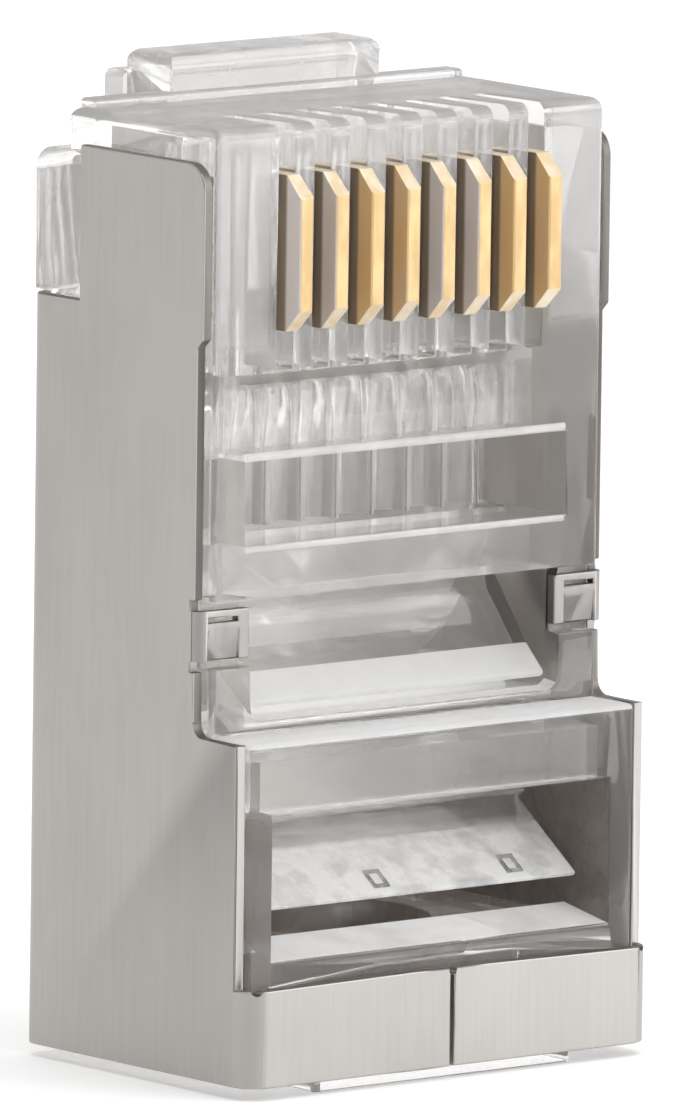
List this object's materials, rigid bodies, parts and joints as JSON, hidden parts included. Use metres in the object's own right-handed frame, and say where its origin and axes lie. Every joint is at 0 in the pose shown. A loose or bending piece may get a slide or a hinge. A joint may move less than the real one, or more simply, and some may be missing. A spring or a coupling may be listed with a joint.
{
  "type": "shielded rj45 modular plug",
  "caption": "Clear moulded modular plug in a folded metal shield, standing on its cable end, with gold contact blades, a spring latch and strain relief bars.",
  "frame": {"origin": "centre of the round cable entry on the rear end face, which the plug stands on", "axes": "+Z towards the nose that goes into a jack, X across the plug, -Y the contact side, +Y the latch side"},
  "size_m": [0.0116, 0.0119, 0.0225],
  "materials": {
    "clear_polycarbonate": "clear moulded, polished",
    "shield_metal": "satin nickel plate with a fine grain",
    "contact_gold": "gold plated"
  },
  "bodies": {
    "plug_body": {"housing": "clear_polycarbonate", "shield": "shield_metal"},
    "latch": {"latch": "clear_polycarbonate"},
    "jacket_bar": {"jacket_bar": "clear_polycarbonate"},
    "conductor_bar": {"conductor_bar": "clear_polycarbonate"},
    "contact_1": {"contact_1": "contact_gold"},
    "contact_2": {"contact_2": "contact_gold"},
    "contact_3": {"contact_3": "contact_gold"},
    "contact_4": {"contact_4": "contact_gold"},
    "contact_5": {"contact_5": "contact_gold"},
    "contact_6": {"contact_6": "contact_gold"},
    "contact_7": {"contact_7": "contact_gold"},
    "contact_8": {"contact_8": "contact_gold"}
  },
  "joints": [
    {"name": "latch_flex", "type": "hinge", "parent": "plug_body", "child": "latch", "pos_m": [0, 0.0038, 0.0212], "axis": [-1, 0, 0], "range_deg": [0, 11], "stiffness_Nm_per_rad": 0.34},
    {"name": "jacket_bar_fold", "type": "hinge", "parent": "plug_body", "child": "jacket_bar", "pos_m": [0, -0.00125, 0.00572], "axis": [1, 0, 0], "range_deg": [0, 20]},
    {"name": "conductor_bar_fold", "type": "hinge", "parent": "plug_body", "child": "conductor_bar", "pos_m": [0, -0.00085, 0.0108], "axis": [1, 0, 0], "range_deg": [0, 14]},
    {"name": "contact_1_press", "type": "slide", "parent": "plug_body", "child": "contact_1", "axis": [0, 1, 0], "range_m": [0, 0.00095]},
    {"name": "contact_2_press", "type": "slide", "parent": "plug_body", "child": "contact_2", "axis": [0, 1, 0], "range_m": [0, 0.00095]},
    {"name": "contact_3_press", "type": "slide", "parent": "plug_body", "child": "contact_3", "axis": [0, 1, 0], "range_m": [0, 0.00095]},
    {"name": "contact_4_press", "type": "slide", "parent": "plug_body", "child": "contact_4", "axis": [0, 1, 0], "range_m": [0, 0.00095]},
    {"name": "contact_5_press", "type": "slide", "parent": "plug_body", "child": "contact_5", "axis": [0, 1, 0], "range_m": [0, 0.00095]},
    {"name": "contact_6_press", "type": "slide", "parent": "plug_body", "child": "contact_6", "axis": [0, 1, 0], "range_m": [0, 0.00095]},
    {"name": "contact_7_press", "type": "slide", "parent": "plug_body", "child": "contact_7", "axis": [0, 1, 0], "range_m": [0, 0.00095]},
    {"name": "contact_8_press", "type": "slide", "parent": "plug_body", "child": "contact_8", "axis": [0, 1, 0], "range_m": [0, 0.00095]}
  ],
  "couplings": [
    {"joint": "contact_2_press", "follows": "contact_1_press", "ratio": 1},
    {"joint": "contact_3_press", "follows": "contact_1_press", "ratio": 1},
    {"joint": "contact_4_press", "follows": "contact_1_press", "ratio": 1},
    {"joint": "contact_5_press", "follows": "contact_1_press", "ratio": 1},
    {"joint": "contact_6_press", "follows": "contact_1_press", "ratio": 1},
    {"joint": "contact_7_press", "follows": "contact_1_press", "ratio": 1},
    {"joint": "contact_8_press", "follows": "contact_1_press", "ratio": 1}
  ]
}
